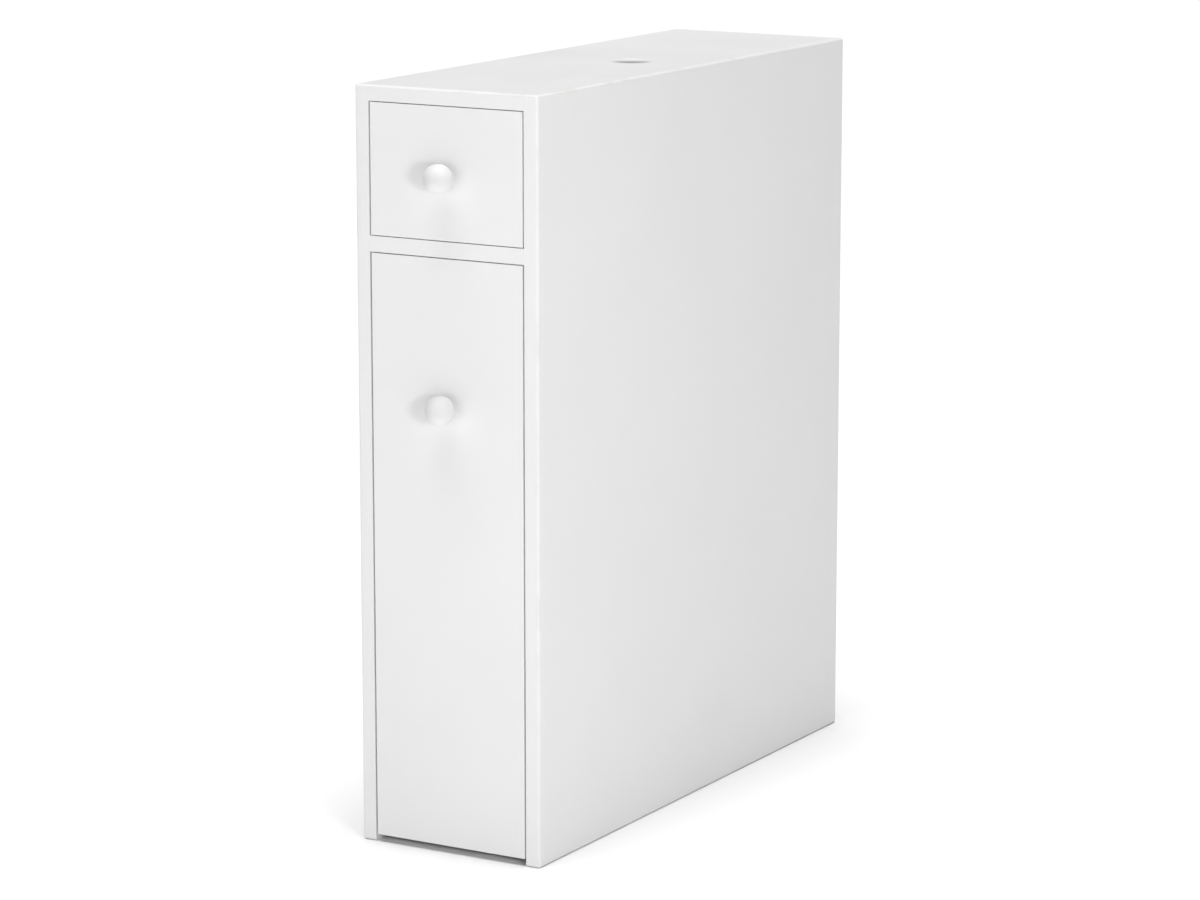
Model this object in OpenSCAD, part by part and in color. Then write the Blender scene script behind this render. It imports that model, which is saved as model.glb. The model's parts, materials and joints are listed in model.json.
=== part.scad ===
// Slim bathroom floor cabinet with a shallow top drawer and a tall pull-out that rolls on the floor.
// X runs left to right, the fronts face -Y and +Z is up. The origin is on the floor, in the middle
// of the whole footprint with the knobs included. Lengths are in millimetres.

/* [Cabinet] */
// Height of the cabinet
cabinet_h = 580; // [540:1:640]
// Width over both side panels
cabinet_w = 158; // [152:1:200]
// Depth of the side panels
cabinet_d = 488; // [420:1:540]
// Thickness of every painted board
board_t = 12; // [12:0.5:14]
// Thickness of the hardboard back panel and drawer bottom
sheet_t = 3; // [2.5:0.5:4]
// How far the back panel sits in from the rear edges
back_inset = 8; // [6:1:12]
// Height of the rail that joins the sides at the rear, on the floor
rail_h = 60; // [50:1:100]

/* [Paper outlet] */
// Diameter of the round hole in the top
outlet_d = 28; // [20:1:50]
// How far the hole sits to the right of the middle
outlet_x = 18; // [-25:1:25]

/* [Drawer] */
// Height of the drawer's opening
drawer_opening_h = 100.5; // [98:0.5:120]
// Gap above and below the drawer front
drawer_gap = 0.6; // [0.5:0.1:2]
// Gap at each side of the drawer front
drawer_front_side_gap = 1.2; // [1:0.1:2]
// Gap between the drawer box and the side panels
drawer_side_gap = 1; // [0.6:0.1:1.5]
// Height of the drawer box
drawer_box_h = 80; // [78:1:90]
// Height of the knob above the lower edge of the drawer front
drawer_knob_h = 47; // [40:0.5:60]

/* [Pull-out] */
// Gap over the pull-out front
pullout_top_gap = 0.7; // [0.5:0.1:2]
// Gap at each side of the pull-out front
pullout_side_gap = 1.4; // [1.2:0.1:2]
// Height of the pull-out front over the floor
floor_gap = 5.5; // [4:0.5:7]
// Distance of the knob below the upper edge of the pull-out front
pullout_knob_drop = 112; // [80:1:160]
// Height of the guard slats beside each level
guard_h = 40; // [30:1:60]
// Diameter of the rollers
roller_d = 26; // [24:1:28]

/* [Knobs] */
// Diameter of a knob's ball
knob_d = 22.5; // [20:0.5:24]
// How far a knob stands out of its front
knob_out = 21.5; // [20.5:0.5:24]

/* [Hidden] */
$fn = 48;

LEFT = -1;
RIGHT = 1;
FRONT = -1;
REAR = 1;

// Width of a cross recess as a share of the head that it is cut in
recess_share = 0.6;
// Clearance of a fastener in its hole, across the diameter, and of a sheet in its groove
fit_gap = 0.2;
// Overshoot of a cut past the face that it opens
over = 1;

// Carcass
front_y = knob_out - (cabinet_d + knob_out) / 2;
inner_x = cabinet_w / 2 - board_t;
top_z = cabinet_h - board_t;
shelf_top_z = top_z - drawer_opening_h;
shelf_z = shelf_top_z - board_t;
groove_depth = 5;
sheet_tuck = groove_depth - fit_gap;
back_panel_d = cabinet_d - back_inset - sheet_t;
// Height of the back panel's lower edge over the floor
back_panel_z = 6;
rail_d = back_panel_d - board_t;
rail_cam_z = rail_h / 2;
// Back panel screws stand clear of the rail's cam locks, nearer the middle
back_screw_x = inner_x / 3;

// Cam joints: a bolt in one board is drawn up by a turning lock in the other
cam_d = 12;
cam_h = 9.5;
cam_reach = 24;
cam_bolt_thread = [5, 8];
cam_bolt_bore = 6;
// Distance of the carcass cams from the front and rear edges
cam_insets = [70, 78];
carcass_cam_depths = [cam_insets[0], cabinet_d - cam_insets[1]];

// Dowels
dowel_d = 6;
guard_dowel_d = 5;
dowel_in_face = 8.5;
dowel_in_end = 19.5;
// Distance of the carcass dowels from the front and rear edges
dowel_insets = [25, 38];
carcass_dowel_depths = [dowel_insets[0], cabinet_d - dowel_insets[1]];
// Heights of the dowels in the rail and in a guard, as shares of that board's own height
rail_dowel_shares = [0.2, 0.8];
guard_dowel_shares = [0.25, 0.75];

// Drawer runner strips, which run in grooves milled into the drawer sides
strip_t = 5;
strip_h = 10;
strip_play = 0.3;
strip_front_gap = 2;
strip_rear_gap = 25;
strip_lift = 43;
strip_screw_inset = 26;
strip_start = board_t + strip_front_gap;
strip_len = rail_d - strip_rear_gap - strip_start;
strip_z = shelf_top_z + strip_lift;
strip_screw_depths = [
    strip_start + strip_screw_inset,
    strip_start + strip_len / 2,
    strip_start + strip_len - strip_screw_inset
];

// Rubber bumpers, which stop just short of the board behind them
bumper_d = 10;
bumper_t = 3;
bumper_play = 0.3;
// Difference in diameter between the base and the face of a bumper or a pad
button_taper = 2;

// Drawer box: its height over the shelf, then heights over the box's own lower edge
drawer_lift = 2.5;
drawer_sheet_lift = 8;
drawer_cam_lift = 21;
drawer_dowel_lift = 66;
drawer_screw_lifts = [22, 66];
// Bumper's distance from the middle, and its height over the box's lower edge
drawer_bumper_at = [40, 30];
drawer_front_z = shelf_top_z + drawer_gap;
drawer_front_h = drawer_opening_h - 2 * drawer_gap;
drawer_box_z = shelf_top_z + drawer_lift;
drawer_out_x = inner_x - drawer_side_gap;
drawer_in_x = drawer_out_x - board_t;
drawer_end = back_panel_d - bumper_t - bumper_play;
drawer_back_d = drawer_end - board_t;
drawer_sheet_z = drawer_box_z + drawer_sheet_lift;
drawer_cam_z = drawer_box_z + drawer_cam_lift;
drawer_dowel_z = drawer_box_z + drawer_dowel_lift;
drawer_screw_zs = [for (lift = drawer_screw_lifts) drawer_box_z + lift];
drawer_bumper = [drawer_bumper_at[0], drawer_box_z + drawer_bumper_at[1]];
drawer_knob_z = drawer_front_z + drawer_knob_h;

// Pull-out
// Gap between its boards and the side panels, and how far its back board stays below its front
pullout_box_gap = 3;
pullout_back_drop = 14;
// Bumper's distance from the middle, and how far it sits below the rail's upper edge
pullout_bumper_at = [45, 15];
pullout_top_z = shelf_z - pullout_top_gap;
pullout_x = inner_x - pullout_box_gap;
pullout_end = rail_d - bumper_t - bumper_play;
pullout_back_d = pullout_end - board_t;
pullout_back_top = pullout_top_z - pullout_back_drop;
bracket_h = 18;
pullout_bottom_z = roller_d / 2 + bracket_h;
pullout_floor_z = pullout_bottom_z + board_t;
pullout_shelf_z = round((pullout_floor_z + pullout_top_z - board_t) / 2);
pullout_shelf_top = pullout_shelf_z + board_t;
pullout_knob_z = pullout_top_z - pullout_knob_drop;
pullout_cam_x = 18;
pullout_dowel_x = 50;
guard_t = 9;
guard_lift = 20;
pullout_bumper = [pullout_bumper_at[0], rail_h - pullout_bumper_at[1]];

// Guide pads, nailed to the edges of the pull-out's boards; a nail is its diameter and its length
pad_d = 12;
pad_t = 2.4;
pad_nail = [2, 12];
pad_front_depth = 40;
pad_low_lift = 30;
pad_high_drop = 40;
pad_points = [
    [pad_front_depth, pullout_bottom_z + board_t / 2],
    [pad_front_depth, pullout_shelf_z + board_t / 2],
    [pullout_back_d + board_t / 2, pullout_bottom_z + pad_low_lift],
    [pullout_back_d + board_t / 2, pullout_back_top - pad_high_drop]
];

// Rollers
roller_x = 46;
// Distance of the rollers from the front face and from the back board
roller_insets = [60, 48];
roller_depths = [roller_insets[0], pullout_back_d - roller_insets[1]];
roller_w = 14.6;
axle_d = 5;
axle_play = 0.1;
rivet_head = [8, 1.2];
ear_t = 1.5;
ear_w = 14;
ear_gap = 16;
plate = [28, 46, 1.5];
plate_screw_offset = 17;

// Screws: shaft diameter, head diameter, head height, length under the head
strip_screw = [3, 6, 1.5, 12.5];
box_screw = [3.5, 7, 1.75, 28];
back_panel_screw = [2.9, 5.6, 2, 12];
bracket_screw = [3.5, 7, 2.2, 10.5];
knob_screw = [4, 8, 2.6, 24];

/* Placing */

function behind(depth) = front_y + depth;

// A box between two corners, given as x, depth behind the front face, and z
module block(low, high) {
    translate([low[0], behind(low[1]), low[2]]) cube(high - low);
}

// The same box on the left or the right, given for the right-hand side
module side_block(side, low, high) {
    mirror_normal = side == LEFT ? [1, 0, 0] : [0, 0, 0];
    mirror(mirror_normal) block(low, high);
}

// Children with +Z turned to point from a side panel towards the middle
module inward(side, depth, z) {
    translate([side * inner_x, behind(depth), z]) rotate([0, -90 * side, 0]) children();
}

// Children with +Z turned to point backwards, or forwards with end = REAR
module along_depth(end, x, depth, z) {
    translate([x, behind(depth), z]) rotate([end * 90, 0, 0]) children();
}

/* Fasteners and their holes */

module cross_recess(size) {
    slot = size / 4;
    translate([-size / 2, -slot / 2, -over]) cube([size, slot, slot + over]);
    translate([-slot / 2, -size / 2, -over]) cube([slot, size, slot + over]);
}

// Countersunk screw: the head's face is at z = 0 and the tip points to +Z
module countersunk_screw(screw) {
    difference() {
        union() {
            cylinder(d1 = screw[1], d2 = screw[0], h = screw[2]);
            cylinder(d = screw[0], h = screw[2] + screw[3]);
        }
        cross_recess(screw[1] * recess_share);
    }
}

module countersunk_hole(screw) {
    cylinder(d1 = screw[1] + fit_gap, d2 = screw[0] + fit_gap, h = screw[2]);
    cylinder(d = screw[0] + fit_gap, h = screw[2] + screw[3] + fit_gap);
    translate([0, 0, -over]) cylinder(d = screw[1] + fit_gap, h = over);
}

// Pan-head screw: the seat under the head is at z = 0 and the tip points to +Z
module pan_screw(screw) {
    crown = 0.7;
    difference() {
        union() {
            translate([0, 0, -screw[2]]) cylinder(d1 = screw[1] * crown, d2 = screw[1], h = screw[2] / 2);
            translate([0, 0, -screw[2] / 2]) cylinder(d = screw[1], h = screw[2] / 2);
            cylinder(d = screw[0], h = screw[3]);
        }
        translate([0, 0, -screw[2]]) cross_recess(screw[1] * recess_share);
    }
}

module pan_hole(screw) {
    translate([0, 0, -over]) cylinder(d = screw[0] + fit_gap, h = screw[3] + fit_gap + over);
}

// Dowel across a joint: the joint's plane is z = 0 and the board's end lies towards +Z
module dowel(diameter) {
    chamfer = 0.8;
    translate([0, 0, -dowel_in_face])
        cylinder(d1 = diameter - 2 * chamfer, d2 = diameter, h = chamfer);
    translate([0, 0, chamfer - dowel_in_face])
        cylinder(d = diameter, h = dowel_in_face + dowel_in_end - 2 * chamfer);
    translate([0, 0, dowel_in_end - chamfer])
        cylinder(d1 = diameter, d2 = diameter - 2 * chamfer, h = chamfer);
}

module dowel_hole(diameter) {
    translate([0, 0, -dowel_in_face - fit_gap])
        cylinder(d = diameter + fit_gap, h = dowel_in_face + dowel_in_end + 2 * fit_gap);
}

// Cam joint: z = 0 is the board's open face with the lock sunk to +Z, and the bolt comes from -X
module bolt_axis() {
    translate([-cam_reach, 0, board_t / 2]) rotate([0, 90, 0]) children();
}

module cam_bolt() {
    // Diameter and length of each stretch of the bolt
    neck = [3, 3];
    head = [5.4, 3];
    shank = [4, cam_reach - neck[1] - head[1] / 2];
    bolt_axis() {
        translate([0, 0, -cam_bolt_thread[1]]) cylinder(d = cam_bolt_thread[0], h = cam_bolt_thread[1]);
        cylinder(d = shank[0], h = shank[1]);
        translate([0, 0, shank[1]]) cylinder(d = neck[0], h = neck[1]);
        translate([0, 0, shank[1] + neck[1]]) cylinder(d = head[0], h = head[1]);
    }
}

module cam_lock() {
    past_middle = 3;
    difference() {
        cylinder(d = cam_d, h = cam_h);
        bolt_axis() translate([0, 0, cam_reach - cam_d]) cylinder(d = cam_bolt_bore, h = cam_d + past_middle);
        cross_recess(cam_d * recess_share);
    }
}

module cam_cut() {
    translate([0, 0, -over]) cylinder(d = cam_d + fit_gap, h = cam_h + fit_gap + over);
    bolt_axis() translate([0, 0, -over]) cylinder(d = cam_bolt_bore, h = cam_reach + over);
}

module bolt_cut() {
    bolt_axis() translate([0, 0, -cam_bolt_thread[1] - fit_gap])
        cylinder(d = cam_bolt_thread[0] + fit_gap, h = cam_bolt_thread[1] + fit_gap + over);
}

/* Where the carcass is joined */

module at_carcass_cams() {
    for (side = [LEFT, RIGHT]) {
        turn = side == RIGHT ? 180 : 0;
        x = side * (inner_x - cam_reach);
        for (depth = carcass_cam_depths, z = [top_z, shelf_z])
            translate([x, behind(depth), z]) rotate([0, 0, turn]) children();
        translate([x, behind(rail_d), rail_cam_z]) rotate([side * 90, 0, turn]) children();
    }
}

module at_carcass_dowels() {
    for (side = [LEFT, RIGHT]) {
        for (depth = carcass_dowel_depths, z = [top_z, shelf_z])
            inward(side, depth, z + board_t / 2) children();
        for (share = rail_dowel_shares)
            inward(side, rail_d + board_t / 2, rail_h * share) children();
    }
}

module at_strip_screws() {
    for (side = [LEFT, RIGHT], depth = strip_screw_depths)
        translate([side * (inner_x - strip_t), behind(depth), strip_z + strip_h / 2])
            rotate([0, 90 * side, 0]) children();
}

module at_back_panel_screws() {
    for (x = [-back_screw_x, back_screw_x], z = [rail_cam_z, shelf_z + board_t / 2])
        along_depth(REAR, x, back_panel_d + sheet_t, z) children();
}

module carcass_joint_holes() {
    at_carcass_cams() bolt_cut();
    at_carcass_dowels() dowel_hole(dowel_d);
}

/* Carcass */

module side_panel(side) {
    color("white") difference() {
        side_block(side, [inner_x, 0, 0], [cabinet_w / 2, cabinet_d, cabinet_h]);
        side_block(side,
            [inner_x - over, back_panel_d - fit_gap / 2, back_panel_z - fit_gap],
            [inner_x + groove_depth, back_panel_d + sheet_t + fit_gap / 2, top_z + groove_depth]);
        carcass_joint_holes();
        at_strip_screws() countersunk_hole(strip_screw);
    }
}

module left_side_panel() side_panel(LEFT);
module right_side_panel() side_panel(RIGHT);

module top_panel() {
    color("white") difference() {
        block([-inner_x, 0, top_z], [inner_x, cabinet_d, cabinet_h]);
        translate([outlet_x, behind(cabinet_d / 2), top_z - over])
            cylinder(d = outlet_d, h = board_t + 2 * over);
        block([-inner_x - over, back_panel_d - fit_gap / 2, top_z - over],
            [inner_x + over, back_panel_d + sheet_t + fit_gap / 2, top_z + groove_depth]);
        at_carcass_cams() cam_cut();
        at_carcass_dowels() dowel_hole(dowel_d);
    }
}

module mid_shelf() {
    color("white") difference() {
        block([-inner_x, 0, shelf_z], [inner_x, back_panel_d, shelf_top_z]);
        at_carcass_cams() cam_cut();
        at_carcass_dowels() dowel_hole(dowel_d);
        at_back_panel_screws() pan_hole(back_panel_screw);
    }
}

module rear_rail() {
    color("white") difference() {
        block([-inner_x, rail_d, 0], [inner_x, back_panel_d, rail_h]);
        at_carcass_cams() cam_cut();
        at_carcass_dowels() dowel_hole(dowel_d);
        at_back_panel_screws() pan_hole(back_panel_screw);
    }
}

module back_panel() {
    x = inner_x + sheet_tuck;
    color("whitesmoke") difference() {
        block([-x, back_panel_d, back_panel_z], [x, back_panel_d + sheet_t, top_z + sheet_tuck]);
        at_back_panel_screws() pan_hole(back_panel_screw);
    }
}

module drawer_strip(side) {
    color("white") difference() {
        side_block(side, [inner_x - strip_t, strip_start, strip_z],
            [inner_x, strip_start + strip_len, strip_z + strip_h]);
        at_strip_screws() countersunk_hole(strip_screw);
    }
}

module drawer_strip_left() drawer_strip(LEFT);
module drawer_strip_right() drawer_strip(RIGHT);

module strip_screws() color("silver") at_strip_screws() countersunk_screw(strip_screw);
module carcass_cam_bolts() color("silver") at_carcass_cams() cam_bolt();
module carcass_cam_locks() color("darkgray") at_carcass_cams() cam_lock();
module carcass_dowels() color("burlywood") at_carcass_dowels() dowel(dowel_d);
module back_panel_screws() color("silver") at_back_panel_screws() pan_screw(back_panel_screw);

/* Where the drawer is joined */

module at_drawer_cams() {
    for (side = [LEFT, RIGHT])
        translate([side * drawer_in_x, behind(board_t + cam_reach), drawer_cam_z])
            rotate([side * 90, 0, 90]) children();
}

module at_drawer_dowels() {
    for (side = [LEFT, RIGHT])
        along_depth(FRONT, side * (drawer_in_x + board_t / 2), board_t, drawer_dowel_z) children();
}

module at_drawer_back_screws() {
    for (side = [LEFT, RIGHT], z = drawer_screw_zs)
        translate([side * drawer_out_x, behind(drawer_back_d + board_t / 2), z])
            rotate([0, -90 * side, 0]) children();
}

// The sheet's grooves, on all four boards around it
module drawer_sheet_groove() {
    x = drawer_in_x + groove_depth;
    block([-x, board_t - groove_depth, drawer_sheet_z - fit_gap / 2],
        [x, drawer_back_d + groove_depth, drawer_sheet_z + sheet_t + fit_gap / 2]);
}

/* Drawer */

module drawer_front() {
    x = inner_x - drawer_front_side_gap;
    color("white") difference() {
        block([-x, 0, drawer_front_z], [x, board_t, drawer_front_z + drawer_front_h]);
        drawer_sheet_groove();
        at_drawer_cams() bolt_cut();
        at_drawer_dowels() dowel_hole(dowel_d);
        along_depth(REAR, 0, board_t, drawer_knob_z) pan_hole(knob_screw);
    }
}

module drawer_side(side) {
    color("white") difference() {
        side_block(side, [drawer_in_x, board_t, drawer_box_z],
            [drawer_out_x, drawer_end, drawer_box_z + drawer_box_h]);
        side_block(side, [inner_x - strip_t - strip_play, 0, strip_z - strip_play],
            [inner_x, cabinet_d, strip_z + strip_h + strip_play]);
        drawer_sheet_groove();
        at_drawer_cams() cam_cut();
        at_drawer_dowels() dowel_hole(dowel_d);
        at_drawer_back_screws() countersunk_hole(box_screw);
    }
}

module drawer_side_left() drawer_side(LEFT);
module drawer_side_right() drawer_side(RIGHT);

module drawer_back() {
    color("white") difference() {
        block([-drawer_in_x, drawer_back_d, drawer_box_z],
            [drawer_in_x, drawer_end, drawer_box_z + drawer_box_h]);
        drawer_sheet_groove();
        at_drawer_back_screws() countersunk_hole(box_screw);
    }
}

module drawer_bottom() {
    x = drawer_in_x + sheet_tuck;
    color("whitesmoke") block([-x, board_t - sheet_tuck, drawer_sheet_z],
        [x, drawer_back_d + sheet_tuck, drawer_sheet_z + sheet_t]);
}

module drawer_cam_bolts() color("silver") at_drawer_cams() cam_bolt();
module drawer_cam_locks() color("darkgray") at_drawer_cams() cam_lock();
module drawer_dowels() color("burlywood") at_drawer_dowels() dowel(dowel_d);
module drawer_back_screws() color("silver") at_drawer_back_screws() countersunk_screw(box_screw);

// Knob turned on its axis: a ball on a short neck, with a blind hole for its screw
module knob(z) {
    neck_r = knob_d * 0.3;
    neck_h = knob_d * 0.2;
    ball_r = knob_d / 2;
    spare_depth = 1;
    bore_depth = knob_screw[3] - board_t + spare_depth;
    color("white") along_depth(REAR, 0, 0, z) rotate_extrude() difference() {
        union() {
            intersection() {
                translate([0, knob_out - ball_r]) circle(r = ball_r);
                square([knob_d, 2 * knob_d]);
            }
            square([neck_r, neck_h]);
        }
        translate([0, -over]) square([(knob_screw[0] + fit_gap) / 2, bore_depth + over]);
    }
}

module drawer_knob() knob(drawer_knob_z);
module pullout_knob() knob(pullout_knob_z);

module knob_screw_at(z) color("silver") along_depth(REAR, 0, board_t, z) pan_screw(knob_screw);

module drawer_knob_screw() knob_screw_at(drawer_knob_z);
module pullout_knob_screw() knob_screw_at(pullout_knob_z);

// A pair of rubber buttons on the rear of a back board
module bumpers(depth, point) {
    color("dimgray") for (x = [-point[0], point[0]])
        along_depth(FRONT, x, depth, point[1])
            cylinder(d1 = bumper_d, d2 = bumper_d - button_taper, h = bumper_t);
}

module drawer_bumpers() bumpers(drawer_end, drawer_bumper);
module pullout_bumpers() bumpers(pullout_end, pullout_bumper);

/* Where the pull-out is joined */

module at_pullout_cams() {
    for (x = [-pullout_cam_x, pullout_cam_x], z = [pullout_bottom_z, pullout_shelf_z]) {
        translate([x, behind(board_t + cam_reach), z]) rotate([0, 0, 90]) children();
        translate([x, behind(pullout_back_d - cam_reach), z]) rotate([0, 0, -90]) children();
    }
}

module at_pullout_dowels() {
    for (x = [-pullout_dowel_x, pullout_dowel_x], z = [pullout_bottom_z, pullout_shelf_z]) {
        along_depth(FRONT, x, board_t, z + board_t / 2) children();
        along_depth(REAR, x, pullout_back_d, z + board_t / 2) children();
    }
}

module at_guards() {
    for (side = [LEFT, RIGHT], z = [pullout_floor_z, pullout_shelf_top])
        translate([side * (pullout_x - guard_t / 2), 0, z + guard_lift]) children();
}

module at_guard_dowels() {
    at_guards() for (share = guard_dowel_shares)
        along_depth(FRONT, 0, board_t, guard_h * share) children();
}

module at_guard_screws() {
    at_guards() along_depth(REAR, 0, pullout_end, guard_h / 2) children();
}

module at_guide_pads() {
    for (side = [LEFT, RIGHT], point = pad_points)
        translate([side * pullout_x, behind(point[0]), point[1]]) rotate([0, 90 * side, 0]) children();
}

// Children at one roller's centre
module at_roller(side, end) {
    depth = end == FRONT ? roller_depths[0] : roller_depths[1];
    translate([side * roller_x, behind(depth), roller_d / 2]) children();
}

module at_rollers() {
    for (side = [LEFT, RIGHT], end = [FRONT, REAR]) at_roller(side, end) children();
}

module at_bracket_screws() {
    at_rollers() for (y = [-plate_screw_offset, plate_screw_offset])
        translate([0, y, bracket_h - plate[2]]) children();
}

/* Pull-out */

module pullout_front() {
    x = inner_x - pullout_side_gap;
    color("white") difference() {
        block([-x, 0, floor_gap], [x, board_t, pullout_top_z]);
        at_pullout_cams() bolt_cut();
        at_pullout_dowels() dowel_hole(dowel_d);
        at_guard_dowels() dowel_hole(guard_dowel_d);
        along_depth(REAR, 0, board_t, pullout_knob_z) pan_hole(knob_screw);
    }
}

module pad_nail_hole() {
    translate([0, 0, -pad_nail[1] - fit_gap])
        cylinder(d = pad_nail[0] + fit_gap, h = pad_nail[1] + fit_gap + over);
}

module pullout_back() {
    color("white") difference() {
        block([-pullout_x, pullout_back_d, pullout_bottom_z], [pullout_x, pullout_end, pullout_back_top]);
        at_pullout_cams() bolt_cut();
        at_pullout_dowels() dowel_hole(dowel_d);
        at_guard_screws() countersunk_hole(box_screw);
        at_guide_pads() pad_nail_hole();
    }
}

module pullout_level(z) {
    color("white") difference() {
        block([-pullout_x, board_t, z], [pullout_x, pullout_back_d, z + board_t]);
        at_pullout_cams() cam_cut();
        at_pullout_dowels() dowel_hole(dowel_d);
        at_guide_pads() pad_nail_hole();
        at_bracket_screws() pan_hole(bracket_screw);
    }
}

module pullout_bottom() pullout_level(pullout_bottom_z);
module pullout_shelf() pullout_level(pullout_shelf_z);

// Slat along one side of a level that keeps things from sliding off it
module guard(side, level_z) {
    z = level_z + guard_lift;
    color("white") difference() {
        side_block(side, [pullout_x - guard_t, board_t, z], [pullout_x, pullout_back_d, z + guard_h]);
        at_guard_dowels() dowel_hole(guard_dowel_d);
        at_guard_screws() countersunk_hole(box_screw);
    }
}

module lower_guard_left() guard(LEFT, pullout_floor_z);
module lower_guard_right() guard(RIGHT, pullout_floor_z);
module upper_guard_left() guard(LEFT, pullout_shelf_top);
module upper_guard_right() guard(RIGHT, pullout_shelf_top);

module pullout_cam_bolts() color("silver") at_pullout_cams() cam_bolt();
module pullout_cam_locks() color("darkgray") at_pullout_cams() cam_lock();
module pullout_dowels() color("burlywood") at_pullout_dowels() dowel(dowel_d);
module guard_dowels() color("burlywood") at_guard_dowels() dowel(guard_dowel_d);
module guard_screws() color("silver") at_guard_screws() countersunk_screw(box_screw);
module bracket_screws() color("silver") at_bracket_screws() pan_screw(bracket_screw);

module guide_pads() {
    color("gainsboro") at_guide_pads() {
        cylinder(d1 = pad_d, d2 = pad_d - button_taper, h = pad_t);
        translate([0, 0, -pad_nail[1]]) cylinder(d = pad_nail[0], h = pad_nail[1] + pad_t / 2);
    }
}

/* Rollers */

// A round bar along X through a roller's centre
module cross_bar(diameter, length) {
    rotate([0, 90, 0]) cylinder(d = diameter, h = length, center = true);
}

// Pressed steel bracket: a plate under the bottom board and two ears that hold the axle
module bracket(side, end) {
    plate_z = bracket_h - plate[2];
    color("silver") at_roller(side, end) difference() {
        union() {
            translate([-plate[0] / 2, -plate[1] / 2, plate_z]) cube(plate);
            for (ear = [LEFT, RIGHT]) translate([ear * (ear_gap + ear_t) / 2, 0, 0]) {
                translate([-ear_t / 2, -ear_w / 2, 0]) cube([ear_t, ear_w, plate_z]);
                cross_bar(ear_w, ear_t);
            }
        }
        cross_bar(axle_d + axle_play, plate[0]);
        for (y = [-plate_screw_offset, plate_screw_offset])
            translate([0, y, plate_z]) pan_hole(bracket_screw);
    }
}

// Riveted axle
module axle(side, end) {
    length = ear_gap + 2 * ear_t;
    color("silver") at_roller(side, end) {
        cross_bar(axle_d, length);
        for (head = [LEFT, RIGHT])
            translate([head * (length + rivet_head[1]) / 2, 0, 0]) cross_bar(rivet_head[0], rivet_head[1]);
    }
}

// Plastic roller with a raised hub and a rounded tread
module roller(side, end) {
    round_r = 1.5;
    hub_r = 5.5;
    recess = 1;
    tread_w = roller_w - 2 * recess;
    color("gainsboro") at_roller(side, end) rotate([0, 90, 0]) rotate_extrude() {
        translate([(axle_d + axle_play) / 2, -roller_w / 2])
            square([hub_r - (axle_d + axle_play) / 2, roller_w]);
        translate([hub_r - over, -tread_w / 2])
            square([roller_d / 2 - round_r - hub_r + over, tread_w]);
        translate([roller_d / 2 - 2 * round_r, round_r - tread_w / 2])
            square([2 * round_r, tread_w - 2 * round_r]);
        for (end_y = [-1, 1])
            translate([roller_d / 2 - round_r, end_y * (tread_w / 2 - round_r)]) circle(r = round_r);
    }
}

module bracket_front_left() bracket(LEFT, FRONT);
module bracket_front_right() bracket(RIGHT, FRONT);
module bracket_rear_left() bracket(LEFT, REAR);
module bracket_rear_right() bracket(RIGHT, REAR);
module axle_front_left() axle(LEFT, FRONT);
module axle_front_right() axle(RIGHT, FRONT);
module axle_rear_left() axle(LEFT, REAR);
module axle_rear_right() axle(RIGHT, REAR);
module roller_front_left() roller(LEFT, FRONT);
module roller_front_right() roller(RIGHT, FRONT);
module roller_rear_left() roller(LEFT, REAR);
module roller_rear_right() roller(RIGHT, REAR);

left_side_panel();
right_side_panel();
top_panel();
mid_shelf();
rear_rail();
back_panel();
drawer_strip_left();
drawer_strip_right();
strip_screws();
carcass_cam_bolts();
carcass_cam_locks();
carcass_dowels();
back_panel_screws();
drawer_front();
drawer_side_left();
drawer_side_right();
drawer_back();
drawer_bottom();
drawer_knob();
drawer_knob_screw();
drawer_cam_bolts();
drawer_cam_locks();
drawer_dowels();
drawer_back_screws();
drawer_bumpers();
pullout_front();
pullout_back();
pullout_bottom();
pullout_shelf();
lower_guard_left();
lower_guard_right();
upper_guard_left();
upper_guard_right();
pullout_knob();
pullout_knob_screw();
pullout_cam_bolts();
pullout_cam_locks();
pullout_dowels();
guard_dowels();
guard_screws();
guide_pads();
pullout_bumpers();
bracket_front_left();
bracket_front_right();
bracket_rear_left();
bracket_rear_right();
axle_front_left();
axle_front_right();
axle_rear_left();
axle_rear_right();
bracket_screws();
roller_front_left();
roller_front_right();
roller_rear_left();
roller_rear_right();
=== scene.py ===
import json
import math
import random

import bmesh
import bpy
from mathutils import Matrix, Vector


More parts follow.
